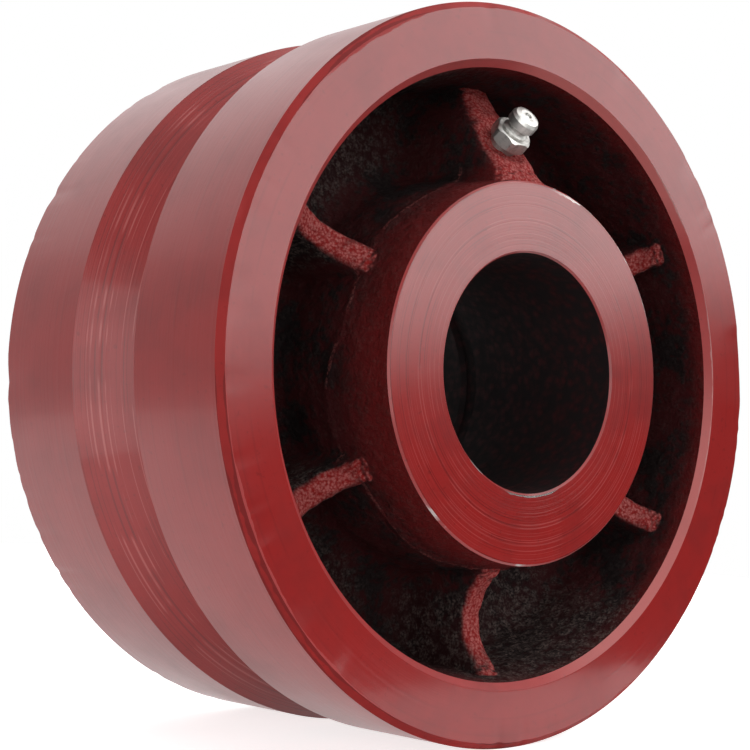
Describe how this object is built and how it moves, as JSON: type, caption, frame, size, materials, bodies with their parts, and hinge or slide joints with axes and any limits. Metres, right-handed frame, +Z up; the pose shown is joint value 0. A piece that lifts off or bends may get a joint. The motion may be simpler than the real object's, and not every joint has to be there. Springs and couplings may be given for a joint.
{
  "type": "v-groove track wheel",
  "caption": "Cast track wheel with a V groove round its tread, a long bored hub, ribbed recesses on both sides and a grease fitting on a slanted boss.",
  "frame": {"origin": "centre of the wheel, on the axle's axis midway between the hub faces", "axes": "+Y along the axle, so that the side with the grease fitting faces -Y; +Z up through the fitting's boss; +X to the right of that side"},
  "size_m": [0.1524, 0.0826, 0.1524],
  "materials": {
    "red_cast_iron": "semi-gloss oxide-red enamel, worn to bare metal on its edges",
    "plated_steel": "zinc-plated",
    "bright_steel": "polished",
    "spring_steel": "drawn wire"
  },
  "bodies": {
    "wheel": {"wheel_casting": "red_cast_iron", "grease_fitting_body": "plated_steel", "check_spring": "spring_steel"},
    "ball": {"check_ball": "bright_steel"}
  },
  "joints": [
    {"name": "check_ball_press", "type": "slide", "parent": "wheel", "child": "ball", "axis": [0, 0.8192, -0.5736], "range_m": [0, 0.001], "stiffness_N_per_m": 200, "deforming": ["check_spring"]}
  ]
}
